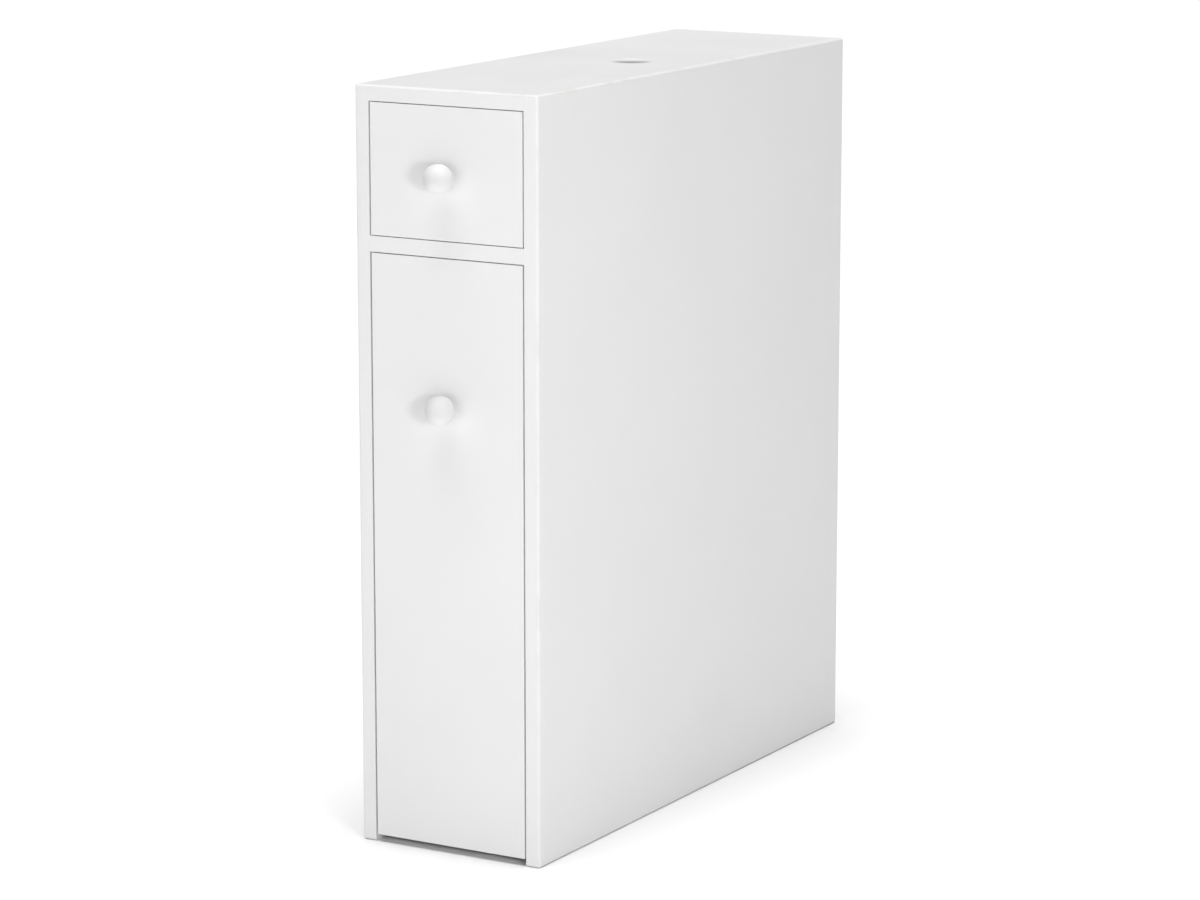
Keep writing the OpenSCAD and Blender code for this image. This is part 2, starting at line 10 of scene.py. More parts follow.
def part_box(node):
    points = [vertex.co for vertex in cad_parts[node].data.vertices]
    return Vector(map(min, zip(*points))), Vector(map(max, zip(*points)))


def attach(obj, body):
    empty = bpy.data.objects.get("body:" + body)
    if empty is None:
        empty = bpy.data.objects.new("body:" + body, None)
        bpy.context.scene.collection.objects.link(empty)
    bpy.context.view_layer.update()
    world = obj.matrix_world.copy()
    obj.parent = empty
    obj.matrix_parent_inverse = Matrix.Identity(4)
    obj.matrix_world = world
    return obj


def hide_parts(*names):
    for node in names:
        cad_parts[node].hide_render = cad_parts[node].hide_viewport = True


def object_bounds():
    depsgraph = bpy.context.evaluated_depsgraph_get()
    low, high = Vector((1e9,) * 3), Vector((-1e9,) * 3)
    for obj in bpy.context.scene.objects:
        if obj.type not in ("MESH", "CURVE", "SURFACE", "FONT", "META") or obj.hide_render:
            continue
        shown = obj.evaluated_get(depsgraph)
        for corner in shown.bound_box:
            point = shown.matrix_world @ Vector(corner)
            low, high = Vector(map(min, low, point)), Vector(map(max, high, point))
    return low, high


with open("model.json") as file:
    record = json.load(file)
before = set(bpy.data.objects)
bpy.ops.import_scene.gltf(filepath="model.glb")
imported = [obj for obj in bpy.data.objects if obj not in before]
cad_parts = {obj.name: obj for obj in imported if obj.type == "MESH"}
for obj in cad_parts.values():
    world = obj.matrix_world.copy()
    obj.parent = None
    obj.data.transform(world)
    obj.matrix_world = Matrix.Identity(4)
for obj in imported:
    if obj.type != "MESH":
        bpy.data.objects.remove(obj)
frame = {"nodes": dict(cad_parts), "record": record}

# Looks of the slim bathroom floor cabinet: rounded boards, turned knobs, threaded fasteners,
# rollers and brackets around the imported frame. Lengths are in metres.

CAD_LOW, CAD_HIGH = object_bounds()
BODIES = frame["record"]["behaviour"]["bodies"]
BODY_OF = {node: body for body, nodes in BODIES.items() for node in nodes}
SLOT_OF = {row["node"]: row["material_slot"] for row in frame["record"]["subparts"]}

MM = 0.001
TINY = 1e-6
# Points within this of an end face lie on it
NEAR = 50 * TINY
# A face whose normal has a component above this is square to that axis
SQUARE = 0.999
X, Y, Z = Vector((1, 0, 0)), Vector((0, 1, 0)), Vector((0, 0, 1))

# Outside of the carcass, without the knobs
CASE_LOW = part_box("left_side_panel")[0]
CASE_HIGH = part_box("right_side_panel")[1]


# ---------------------------------------------------------------- shader helpers

class Shader:
    """A principled material that is put together one node at a time."""

    def __init__(self, name, **sockets):
        self.material = bpy.data.materials.new(name)
        self.material.use_nodes = True
        self.tree = self.material.node_tree
        self.surface = self.tree.nodes["Principled BSDF"]
        for socket, value in sockets.items():
            self.surface.inputs[socket.replace("_", " ")].default_value = value
        self.place = self.node("ShaderNodeTexCoord").outputs["Object"]

    def node(self, kind, **settings):
        made = self.tree.nodes.new(kind)
        for key, value in settings.items():
            setattr(made, key, value)
        return made

    def link(self, source, target):
        self.tree.links.new(source, target)

    def stretched(self, scale):
        """The piece's own coordinates, scaled along each axis."""
        mapping = self.node("ShaderNodeMapping")
        mapping.inputs["Scale"].default_value = scale
        self.link(self.place, mapping.inputs["Vector"])
        return mapping.outputs["Vector"]

    def noise(self, scale, detail=3, roughness=0.5, vector=None):
        made = self.node("ShaderNodeTexNoise")
        made.inputs["Scale"].default_value = scale
        made.inputs["Detail"].default_value = detail
        made.inputs["Roughness"].default_value = roughness
        self.link(vector or self.place, made.inputs["Vector"])
        return made.outputs["Fac"]

    def attribute(self, name):
        return self.node("ShaderNodeAttribute", attribute_name=name).outputs["Fac"]

    def math(self, operation, first, second):
        made = self.node("ShaderNodeMath", operation=operation)
        for socket, value in zip(made.inputs, (first, second)):
            if isinstance(value, (int, float)):
                socket.default_value = value
            else:
                self.link(value, socket)
        return made.outputs[0]

    def spread(self, source, low, high, new_low=0.0, new_high=1.0):
        made = self.node("ShaderNodeMapRange")
        for socket, value in zip(list(made.inputs)[1:5], (low, high, new_low, new_high)):
            socket.default_value = value
        self.link(source, made.inputs[0])
        return made.outputs[0]

    def ramp(self, source, *stops):
        made = self.node("ShaderNodeValToRGB")
        elements = made.color_ramp.elements
        while len(elements) < len(stops):
            elements.new(0.5)
        for element, (position, colour) in zip(elements, stops):
            element.position = position
            element.color = (*colour, 1)
        self.link(source, made.inputs["Fac"])
        return made.outputs["Color"]

    def mix(self, share, first, second):
        made = self.node("ShaderNodeMix", data_type="RGBA")
        self.link(share, made.inputs[0])
        for socket, value in zip((made.inputs[6], made.inputs[7]), (first, second)):
            if isinstance(value, tuple):
                socket.default_value = (*value, 1)
            else:
                self.link(value, socket)
        return made.outputs[2]

    def colour(self, source):
        self.link(source, self.surface.inputs["Base Color"])

    def roughness(self, source):
        self.link(source, self.surface.inputs["Roughness"])

    def bump(self, *layers):
        """Each layer is a height source and its depth in metres."""
        normal = None
        for height, depth in layers:
            made = self.node("ShaderNodeBump")
            made.inputs["Distance"].default_value = depth
            self.link(height, made.inputs["Height"])
            if normal:
                self.link(normal, made.inputs["Normal"])
            normal = made.outputs["Normal"]
        self.link(normal, self.surface.inputs["Normal"])


# ---------------------------------------------------------------- materials

def painted_board():
    """Satin white paint: faint orange peel, cloudy thickness, and arrises rubbed a little shiny."""
    s = Shader("painted_board", Specular_IOR_Level=0.15)
    cloud = s.noise(7, detail=4)
    speck = s.noise(900, detail=2)
    rubbed = s.math("MULTIPLY", s.attribute("edge"), s.spread(s.noise(45, detail=5), 0.5, 0.68))
    clean = s.ramp(cloud, (0.3, (0.800, 0.801, 0.800)), (0.7, (0.822, 0.823, 0.823)))
    s.colour(s.mix(rubbed, clean, (0.765, 0.760, 0.748)))
    base = s.spread(s.math("ADD", cloud, s.math("MULTIPLY", speck, 0.3)), 0.3, 1.0, 0.40, 0.50)
    s.roughness(s.math("SUBTRACT", base, s.math("MULTIPLY", rubbed, 0.14)))
    s.bump((s.noise(420, detail=3), 0.00003), (s.noise(38, detail=2), 0.00006))
    return s.material


def hardboard():
    """Thin white-lacquered fibreboard with its fibres showing through."""
    s = Shader("hardboard")
    fibres = s.noise(260, detail=6, roughness=0.7, vector=s.stretched((1, 3, 0.6)))
    cloud = s.noise(9, detail=4)
    s.colour(s.mix(s.spread(fibres, 0.52, 0.72),
                   s.ramp(cloud, (0.3, (0.755, 0.752, 0.742)), (0.7, (0.785, 0.783, 0.775))),
                   (0.70, 0.69, 0.665)))
    s.roughness(s.spread(fibres, 0.3, 0.7, 0.50, 0.68))
    s.bump((fibres, 0.00006), (s.noise(1400, detail=2), 0.00002))
    return s.material


def knob():
    """Matt white lacquer over a turned ball, smoother where it is touched."""
    s = Shader("knob", Specular_IOR_Level=0.18)
    cloud = s.noise(90, detail=3)
    touched = s.noise(60, detail=2)
    s.colour(s.ramp(cloud, (0.3, (0.712, 0.713, 0.712)), (0.7, (0.726, 0.727, 0.727))))
    s.roughness(s.spread(touched, 0.35, 0.7, 0.44, 0.58))
    s.bump((s.noise(130, detail=2), 0.000006))
    return s.material


def white_plastic():
    """Extruded white plastic with fine lines along its length."""
    s = Shader("white_plastic")
    lines = s.noise(900, detail=2, vector=s.stretched((1, 0.02, 1)))
    cloud = s.noise(30, detail=3)
    s.colour(s.ramp(cloud, (0.3, (0.755, 0.753, 0.738)), (0.7, (0.795, 0.793, 0.780))))
    s.roughness(s.spread(lines, 0.3, 0.7, 0.38, 0.52))
    s.bump((lines, 0.00003))
    return s.material


def zinc(name, dark, light, grain_scale, rough_low, rough_high, grain_depth):
    """Zinc in small patches of slightly different brightness, with a fine surface grain."""
    s = Shader(name, Metallic=1.0)
    patches = s.noise(grain_scale, detail=5, roughness=0.6)
    fine = s.noise(grain_scale * 9, detail=2)
    s.colour(s.ramp(patches, (0.3, dark), (0.7, light)))
    s.roughness(s.spread(s.math("ADD", patches, s.math("MULTIPLY", fine, 0.5)),
                         0.4, 1.1, rough_low, rough_high))
    s.bump((fine, grain_depth), (patches, grain_depth * 2))
    return s.material


def screw_steel():
    return zinc("screw_steel", (0.52, 0.53, 0.55), (0.70, 0.70, 0.70), 420, 0.22, 0.42, 0.00001)


def cast_zinc():
    return zinc("cast_zinc", (0.36, 0.37, 0.38), (0.50, 0.50, 0.51), 650, 0.42, 0.62, 0.00003)


def bracket_steel():
    return zinc("bracket_steel", (0.50, 0.52, 0.55), (0.68, 0.68, 0.67), 160, 0.28, 0.48, 0.00002)


def beech():
    """Bare beech: long pale grain with short darker flecks."""
    s = Shader("beech")
    along = s.stretched((0.12, 0.12, 0.12))
    grain = s.noise(2600, detail=5, roughness=0.65, vector=along)
    flecks = s.spread(s.noise(1500, detail=2), 0.62, 0.70)
    body = s.ramp(grain, (0.3, (0.47, 0.31, 0.17)), (0.7, (0.66, 0.49, 0.31)))
    s.colour(s.mix(flecks, body, (0.36, 0.22, 0.12)))
    s.roughness(s.spread(grain, 0.3, 0.7, 0.60, 0.78))
    s.bump((grain, 0.00006))
    return s.material


def bumper_rubber():
    """Soft grey rubber with a dusty bloom."""
    s = Shader("bumper_rubber", Sheen_Weight=0.15)
    bloom = s.noise(300, detail=5, roughness=0.7)
    s.colour(s.ramp(bloom, (0.35, (0.060, 0.060, 0.062)), (0.75, (0.120, 0.119, 0.117))))
    s.roughness(s.spread(bloom, 0.3, 0.7, 0.70, 0.90))
    s.bump((s.noise(1800, detail=3), 0.00004))
    return s.material


def roller_nylon():
    """Moulded nylon whose tread is scuffed grey by the floor."""
    s = Shader("roller_nylon")
    cloud = s.noise(110, detail=4)
    scuffed = s.math("MULTIPLY", s.attribute("edge"), s.spread(s.noise(500, detail=5), 0.35, 0.85))
    clean = s.ramp(cloud, (0.3, (0.66, 0.655, 0.63)), (0.7, (0.72, 0.715, 0.69)))
    s.colour(s.mix(scuffed, clean, (0.54, 0.53, 0.505)))
    s.roughness(s.math("ADD", s.spread(cloud, 0.3, 0.7, 0.40, 0.50), s.math("MULTIPLY", scuffed, 0.22)))
    s.bump((s.noise(1300, detail=3), 0.00002), (scuffed, 0.00001))
    return s.material


MATERIALS = {
    make.__name__: make()
    for make in (painted_board, hardboard, knob, white_plastic, screw_steel, cast_zinc,
                 bracket_steel, beech, bumper_rubber, roller_nylon)
}


# ---------------------------------------------------------------- mesh helpers

# Edges that turn by more degrees than this stay sharp
SMOOTH_ANGLE = 35


def finished(mesh):
    """Smooth curves, sharp corners, and large faces that stay flat beside their roundings."""
    for face in mesh.polygons:
        face.use_smooth = True
    mesh.set_sharp_from_angle(angle=math.radians(SMOOTH_ANGLE))
    holder = bpy.data.objects.new("finished", mesh)
    bpy.context.scene.collection.objects.link(holder)
    flats = holder.modifiers.new("flats", "WEIGHTED_NORMAL")
    flats.keep_sharp = True
    return baked(holder)


def baked(holder):
    """The mesh of an object with its modifiers applied. The object is removed."""
    graph = bpy.context.evaluated_depsgraph_get()
    mesh = bpy.data.meshes.new_from_object(holder.evaluated_get(graph))
    bpy.data.objects.remove(holder)
    return mesh


def show(mesh, node):
    """Puts a finished mesh in the scene in place of a CAD node."""
    piece = add_piece(mesh, f"{node}_look", BODY_OF[node], SLOT_OF[node])
    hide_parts(node)
    return piece


def add_piece(mesh, name, body, slot):
    """Puts a finished mesh in the scene on a body, with the material of its slot."""
    mesh = finished(mesh)
    mesh.materials.clear()
    mesh.materials.append(MATERIALS[slot])
    piece = bpy.data.objects.new(name, mesh)
    bpy.context.scene.collection.objects.link(piece)
    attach(piece, body)
    return piece


def to_mesh(bm, name):
    mesh = bpy.data.meshes.new(name)
    bm.to_mesh(mesh)
    bm.free()
    return mesh


def mark_edge(bm, is_edge):
    """Stores on each face whether it belongs to a rubbed arris or tread."""
    layer = bm.faces.layers.float.new("edge")
    for face in bm.faces:
        face[layer] = 1.0 if is_edge(face) else 0.0


def welded(node):
    """A bmesh of the CAD node with its split vertices joined."""
    bm = bmesh.new()
    bm.from_mesh(frame["nodes"][node].data)
    bmesh.ops.remove_doubles(bm, verts=bm.verts, dist=TINY)
    bm.verts.index_update()
    return bm


def solids(node):
    """The points of each separate solid of a CAD node."""
    bm = welded(node)
    seen, found = set(), []
    for start in bm.verts:
        if start.index in seen:
            continue
        seen.add(start.index)
        island, queue = [], [start]
        while queue:
            vert = queue.pop()
            island.append(vert.co.copy())
            for edge in vert.link_edges:
                other = edge.other_vert(vert)
                if other.index not in seen:
                    seen.add(other.index)
                    queue.append(other)
        found.append(island)
    bm.free()
    return found


def span(points):
    low = Vector(min(p[i] for p in points) for i in range(3))
    high = Vector(max(p[i] for p in points) for i in range(3))
    return low, high


def loft(loops, closed=False):
    """A solid through loops of points. A loop of one point is a pole, and open ends get a cap."""
    bm = bmesh.new()
    rings = [[bm.verts.new(point) for point in loop] for loop in loops]
    count = max(len(ring) for ring in rings)
    pairs = list(zip(rings, rings[1:]))
    if closed:
        pairs.append((rings[-1], rings[0]))
    for lower, upper in pairs:
        for i in range(count):
            j = (i + 1) % count
            corners = [lower[i % len(lower)], lower[j % len(lower)],
                       upper[j % len(upper)], upper[i % len(upper)]]
            unique = list(dict.fromkeys(corners))
            if len(unique) > 2:
                bm.faces.new(unique)
    if not closed:
        for ring in (rings[0], rings[-1]):
            if len(ring) > 2:
                bm.faces.new(ring)
    bmesh.ops.recalc_face_normals(bm, faces=bm.faces)
    return bm


def ring(height, radii):
    """A level loop round Z with its own radius at each step."""
    turn = 2 * math.pi / len(radii)
    return [(r * math.cos(i * turn), r * math.sin(i * turn), height) for i, r in enumerate(radii)]


def lathe(profile, segments=48, closed=False):
    """Turns (radius, height) points about Z. A radius of zero makes a pole."""
    loops = [ring(height, [radius] * segments) if radius > TINY else [(0, 0, height)]
             for radius, height in profile]
    return loft(loops, closed)


def arc(centre, radius, start, end, steps=6):
    """Points of an arc in (radius, height), between two angles in degrees."""
    return [
        (centre[0] + radius * math.cos(math.radians(start + (end - start) * i / steps)),
         centre[1] + radius * math.sin(math.radians(start + (end - start) * i / steps)))
        for i in range(steps + 1)
    ]


def boolean(mesh, other, operation):
    """mesh combined with a cutter mesh by Blender's exact solver."""
    target = bpy.data.objects.new("boolean_target", mesh)
    cutter = bpy.data.objects.new("boolean_cutter", other)
    for made in (target, cutter):
        bpy.context.scene.collection.objects.link(made)
    modifier = target.modifiers.new("cut", "BOOLEAN")
    modifier.operation = operation
    modifier.solver = "EXACT"
    modifier.object = cutter
    result = baked(target)
    bpy.data.objects.remove(cutter)
    return result


# ---------------------------------------------------------------- boards

def rounded_box(low, high, radius_of, segments=4):
    """A box whose 12 edges each have their own radius, given by their middle and direction."""
    bm = bmesh.new()
    bmesh.ops.create_cube(bm, size=1)
    size = high - low
    for vert in bm.verts:
        vert.co = Vector(low[i] + (vert.co[i] + 0.5) * size[i] for i in range(3))
    weight = bm.edges.layers.float.new("bevel_weight_edge")
    radii = [radius_of((edge.verts[0].co + edge.verts[1].co) / 2) for edge in bm.edges]
    widest = max(radii)
    for edge, radius in zip(bm.edges, radii):
        edge[weight] = radius / widest
    box = bpy.data.objects.new("rounded_box", to_mesh(bm, "rounded_box"))
    bpy.context.scene.collection.objects.link(box)
    bevel = box.modifiers.new("round", "BEVEL")
    bevel.width = widest
    bevel.segments = segments
    bevel.limit_method = "WEIGHT"
    return baked(box)


# Radii of rounded edges: outside of the carcass, butt joints, fronts, inner boards and sheets
CASE_ROUND = 2.2 * MM
SEAM_ROUND = 0.18 * MM
FRONT_ROUND = 0.35 * MM
BOX_ROUND = 0.9 * MM
SHEET_ROUND = 0.25 * MM


def on_case(point, axis):
    return abs(point[axis] - CASE_LOW[axis]) < TINY or abs(point[axis] - CASE_HIGH[axis]) < TINY


def case_radius(middle):
    """Wide where two outside faces of the carcass meet, nearly sharp where boards butt together."""
    outside = sum(on_case(middle, axis) for axis in range(3))
    return CASE_ROUND if outside >= 2 else SEAM_ROUND


def even(radius):
    return lambda middle: radius


def board(node, radius_of, cutters=()):
    """The CAD board with all its holes and grooves, and with rounded outer edges."""
    low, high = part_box(node)
    holes = to_mesh(welded(node), "holes")
    mesh = boolean(rounded_box(low, high, radius_of), holes, "INTERSECT")
    for cutter in cutters:
        mesh = boolean(mesh, cutter, "DIFFERENCE")
    bm = bmesh.new()
    bm.from_mesh(mesh)
    bmesh.ops.remove_doubles(bm, verts=bm.verts, dist=TINY)

    def slanted(face):
        return max(abs(c) for c in face.normal) < SQUARE and near_box(face.calc_center_median(), low, high)

    mark_edge(bm, slanted)
    return show(to_mesh(bm, node), node)


def near_box(point, low, high):
    """True within the reach of the rounding of an outer edge: close to two of the box's faces."""
    reach = CASE_ROUND * 1.05
    close = sum(min(point[i] - low[i], high[i] - point[i]) < reach for i in range(3))
    return close >= 2


def outlet_cutter():
    """Trims the outlet to a true round and eases its upper edge."""
    low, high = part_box("top_panel")
    outlet = next(m for m in frame["record"]["mounts"] if m["name"] == "outlet_hole")
    radius = outlet["dims"]["r_mm"] * MM
    ease = 4 * MM
    spare = 2 * MM
    top = high.z
    profile = [(0, low.z - spare), (radius, low.z - spare), (radius, top - ease)]
    profile += arc((radius + ease, top - ease), ease, 180, 90)[1:]
    outer = radius + ease + spare
    profile += [(outer, top + spare / 8), (outer, top + spare), (0, top + spare)]
    bm = lathe(profile, segments=160)
    bmesh.ops.translate(bm, vec=(outlet["pos_m"][0], outlet["pos_m"][1], 0), verts=bm.verts)
    return to_mesh(bm, "outlet_cutter")


def make_boards():
    for node in ("left_side_panel", "right_side_panel", "mid_shelf", "rear_rail"):
        board(node, case_radius)
    board("top_panel", case_radius, [outlet_cutter()])
    for node in ("drawer_front", "pullout_front"):
        board(node, even(FRONT_ROUND))
    for node in ("drawer_side_left", "drawer_side_right", "drawer_back", "pullout_back",
                 "pullout_bottom", "pullout_shelf", "lower_guard_left", "lower_guard_right",
                 "upper_guard_left", "upper_guard_right"):
        board(node, even(BOX_ROUND))
    for node in ("back_panel", "drawer_bottom", "drawer_strip_left", "drawer_strip_right"):
        board(node, even(SHEET_ROUND))


make_boards()


# ---------------------------------------------------------------- fasteners

ROUND = 24


def plain(height, radius):
    return ring(height, [radius] * ROUND)


def thread(start, end, core, crest, pitch):
    """Loops of a helical thread that runs out at both ends."""
    loops_per_turn = 8
    count = round((end - start) / pitch * loops_per_turn)
    loops = []
    for k in range(count + 1):
        height = start + (end - start) * k / count
        fade = min(1.0, (height - start) / pitch, (end - height) / pitch)
        radii = []
        for i in range(ROUND):
            ridge = max(0.0, math.cos(2 * math.pi * (height / pitch - i / ROUND))) ** 1.5
            radii.append(core + (crest - core) * ridge * fade)
        loops.append(ring(height, radii))
    return loops


def cross(width, top, bottom):
    """A cross-shaped cutter that narrows from its top to its bottom."""
    arm, slot = width / 2, width / 8
    corner = [(arm, -slot), (arm, slot), (slot, slot)]
    outline = []
    for quarter in range(4):
        outline += [Matrix.Rotation(quarter * math.pi / 2, 2) @ Vector(point) for point in corner]
    narrowed = 0.6
    return to_mesh(loft([[(x, y, top) for x, y in outline],
                         [(x * narrowed, y * narrowed, bottom) for x, y in outline]]), "cross")


def screw_mesh(head_loops, head, shaft, seat, length):
    """A self-tapping screw below the given head. It points to +Z with its seat at the given height."""
    core, pitch, tip = shaft * 0.68, shaft * 0.9, shaft * 1.5
    loops = head_loops + [plain(seat, shaft * 0.98), plain(seat + pitch / 2, core)]
    loops += thread(seat + pitch, length - tip, core, shaft, pitch)
    loops += [plain(length - tip / 2, core * 0.6), plain(length - tip / 8, core * 0.18), [(0, 0, length)]]
    recess = cross(head * 1.2, -head, head * 0.5)
    return boolean(to_mesh(loft(loops), "screw"), recess, "DIFFERENCE")


def countersunk(shaft, head, length):
    face = [[(0, 0, 0)], plain(0, head * 0.95), plain(head * 0.05, head), plain(head * 0.1, head)]
    return screw_mesh(face, head, shaft, head - shaft, length)


def pan(shaft, head, length):
    seat = head * 0.63
    crown = [plain(seat * 0.6 * (1 - math.cos(a)), head * (0.55 + 0.45 * math.sin(a)))
             for a in (i * math.pi / 12 for i in range(7))]
    return screw_mesh([[(0, 0, 0)]] + crown + [plain(seat, head)], head, shaft, seat, length)


def cam_bolt(shaft, head, length):
    """A cam bolt: round head, waist, plain shank and coarse thread."""
    waist, shank, thread_length = head * 0.55, shaft * 0.8, 8 * MM
    start = length - thread_length
    loops = [[(0, 0, 0)], plain(0, head * 0.8), plain(0.5 * MM, head), plain(2.3 * MM, head),
             plain(3 * MM, waist), plain(5.6 * MM, waist), plain(6 * MM, shank), plain(start - MM, shank),
             plain(start - 0.8 * MM, shaft), plain(start, shaft), plain(start + 0.2 * MM, shaft * 0.7)]
    loops += thread(start + 0.3 * MM, length - 0.6 * MM, shaft * 0.7, shaft, 1.7 * MM)
    loops += [plain(length, shaft * 0.5), [(0, 0, length)]]
    return to_mesh(loft(loops), "cam_bolt")


def dowel(shaft, head, length):
    """A fluted dowel with chamfered ends."""
    flutes, points_per_flute, chamfer = 14, 6, 0.8 * MM
    waves = [math.cos(2 * math.pi * i / points_per_flute) for i in range(flutes * points_per_flute)]
    body = [head - 0.1 * MM * (1 + wave) for wave in waves]
    end = [head - chamfer] * len(waves)
    return to_mesh(loft([ring(0, end), ring(chamfer, body), ring(length - chamfer, body),
                         ring(length, end)]), "dowel")


def cam_lock(radius, height):
    """A cam lock with a dished face at z = 0 and the bolt's passage coming from -X."""
    dish, rim, ease = 0.4 * MM, 0.9 * MM, 0.25 * MM
    bolt_depth, bolt_r, past = 6 * MM, 3 * MM, 3 * MM
    mesh = to_mesh(lathe([(0, dish), (radius - rim, dish), (radius - rim + dish / 2, 0), (radius - ease, 0),
                          (radius, ease), (radius, height - ease), (radius - ease, height), (0, height)],
                         segments=48), "cam_lock")
    mesh = boolean(mesh, cross(radius * 1.2, -MM, 3 * MM), "DIFFERENCE")
    passage = lathe([(0, -2 * radius), (bolt_r, -2 * radius), (bolt_r, past), (0, past)], segments=32)
    passage.transform(Matrix.Translation((0, 0, bolt_depth)) @ Matrix.Rotation(math.pi / 2, 4, "Y"))
    return boolean(mesh, to_mesh(passage, "passage"), "DIFFERENCE")


# ---------------------------------------------------------------- putting round solids in place

class Round:
    """A round CAD solid: its axis, its length, and a matrix with +Z along it from its front end."""

    def __init__(self, points, pick, front_at_low):
        low, high = span(points)
        size = high - low
        self.axis = pick(range(3), key=lambda i: size[i])
        self.centre = (low + high) / 2
        self.length = size[self.axis]
        ends = [[self.reach(p) for p in points if abs(p[self.axis] - end[self.axis]) < NEAR]
                for end in (low, high)]
        forward = front_at_low(*ends)
        self.back = ends[1] if forward else ends[0]
        self.radius = max(self.reach(p) for p in points)
        start = self.centre.copy()
        start[self.axis] = (low if forward else high)[self.axis]
        direction = (X, Y, Z)[self.axis] * (1 if forward else -1)
        self.matrix = Matrix.Translation(start) @ direction.to_track_quat("Z", "Y").to_matrix().to_4x4()

    def reach(self, point):
        """How far a point is from the axis."""
        offset = point - self.centre
        offset[self.axis] = 0
        return offset.length


def wide_end_first(at_low, at_high):
    return max(at_low) > max(at_high)


def recessed_end_first(at_low, at_high):
    return min(at_low) < min(at_high)


def gather(parts, name):
    """One mesh from (mesh, matrix) pairs."""
    bm = bmesh.new()
    for mesh, matrix in parts:
        placed = mesh.copy()
        placed.transform(matrix)
        bm.from_mesh(placed)
    bmesh.ops.recalc_face_normals(bm, faces=bm.faces)
    return to_mesh(bm, name)


def place_long(node, make):
    """Rebuilds every long round solid of a node, each turned to its own angle."""
    turns = random.Random(node)
    parts = []
    for points in solids(node):
        found = Round(points, max, wide_end_first)
        turn = Matrix.Rotation(turns.uniform(0, math.pi), 4, "Z")
        parts.append((make(max(found.back), found.radius, found.length), found.matrix @ turn))
    show(gather(parts, node), node)


def place_cam_locks(node):
    """Cam locks turned so that each one's mouth faces its bolt."""
    parts = []
    for points in solids(node):
        found = Round(points, min, recessed_end_first)
        inside = [found.matrix.inverted() @ p for p in points]
        inside = [p.xy for p in inside if NEAR < p.z < found.length - NEAR]
        mouth = sum(inside, Vector((0, 0)))
        turn = Matrix.Rotation(math.atan2(-mouth.y, -mouth.x), 4, "Z")
        parts.append((cam_lock(found.radius, found.length), found.matrix @ turn))
    show(gather(parts, node), node)


def make_fasteners():
    for node in ("strip_screws", "drawer_back_screws", "guard_screws"):
        place_long(node, countersunk)
    for node in ("back_panel_screws", "bracket_screws", "drawer_knob_screw", "pullout_knob_screw"):
        place_long(node, pan)
    for node in ("carcass_cam_bolts", "drawer_cam_bolts", "pullout_cam_bolts"):
        place_long(node, cam_bolt)
    for node in ("carcass_dowels", "drawer_dowels", "pullout_dowels", "guard_dowels"):
        place_long(node, dowel)
    for node in ("carcass_cam_locks", "drawer_cam_locks", "pullout_cam_locks"):
        place_cam_locks(node)


make_fasteners()


# ---------------------------------------------------------------- knobs

def make_knob(node):
    """A turned ball that swells from a short neck, with the hole for its screw."""
    low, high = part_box(node)
    centre = (low + high) / 2
    out, ball = high.y - low.y, (high.x - low.x) / 2
    neck, ease = ball * 0.6, 0.25 * MM
    middle = out - ball
    waist = math.degrees(math.acos((neck + ease) / ball))
    joined = middle - ball * math.sin(math.radians(waist))
    bore, bore_depth = 2.1 * MM, 13 * MM
    profile = [(0, bore_depth), (bore, bore_depth), (bore, 0),
               (neck - ease, 0), (neck, ease), (neck, joined - ease)]
    profile += arc((0, middle), ball, -waist, 90, steps=48)
    bm = lathe(profile, segments=96)
    bm.transform(Matrix.Translation((centre.x, high.y, centre.z)) @ Matrix.Rotation(math.pi / 2, 4, "X"))
    show(to_mesh(bm, node), node)


for knob_node in ("drawer_knob", "pullout_knob"):
    make_knob(knob_node)


# ---------------------------------------------------------------- pads and bumpers

def guide_pad(radius, thickness):
    """A domed glide with a sunk centre for its nail, its foot at z = 0."""
    ease, well, well_depth = MM, 2.1 * MM, MM
    profile = [(0, 0), (radius, 0), (radius, thickness * 0.3)]
    profile += arc((radius - ease, thickness * 0.3), ease, 0, 60, steps=5)[1:]
    profile += [(radius - 1.5 * ease, thickness * 0.9), (well + 0.4 * MM, thickness),
                (well, thickness - 0.3 * MM), (well, thickness - well_depth), (0, thickness - well_depth)]
    return to_mesh(lathe(profile, segments=48), "guide_pad")


def nail(head_z, length):
    """A nail with a domed head at head_z and its point towards -Z."""
    head, shaft = 1.9 * MM, MM
    profile = [(0, -length), (shaft, 2 * MM - length), (shaft, head_z - 0.5 * MM), (head, head_z - 0.3 * MM),
               (head * 0.8, head_z), (0, head_z + 0.2 * MM)]
    return to_mesh(lathe(profile, segments=24), "nail")


def make_guide_pads():
    pads, nails = [], []
    nail_length, pad_thickness = 12 * MM, 2.4 * MM
    for points in solids("guide_pads"):
        low, high = span(points)
        centre = (low + high) / 2
        outwards = X if centre.x > 0 else -X
        outer = high.x if centre.x > 0 else -low.x
        foot = Vector((outwards.x * (outer - pad_thickness), centre.y, centre.z))
        place = Matrix.Translation(foot) @ outwards.to_track_quat("Z", "Y").to_matrix().to_4x4()
        pads.append((guide_pad((high.z - low.z) / 2, pad_thickness), place))
        nails.append((nail(pad_thickness - 0.9 * MM, nail_length), place))
    show(gather(pads, "guide_pads"), "guide_pads")
    add_piece(gather(nails, "nails"), "guide_pad_nails", BODY_OF["guide_pads"], "screw_steel")


def bumper(radius, thickness):
    """A soft dome with a thin glued foot at z = 0."""
    foot, steps = 0.5 * MM, 10
    profile = [(0, 0), (radius, 0), (radius, foot)]
    for i in range(steps + 1):
        angle = math.pi / 2 * i / steps
        profile.append(((radius - foot / 2) * math.cos(angle), foot + (thickness - foot) * math.sin(angle)))
    return to_mesh(lathe(profile, segments=40), "bumper")


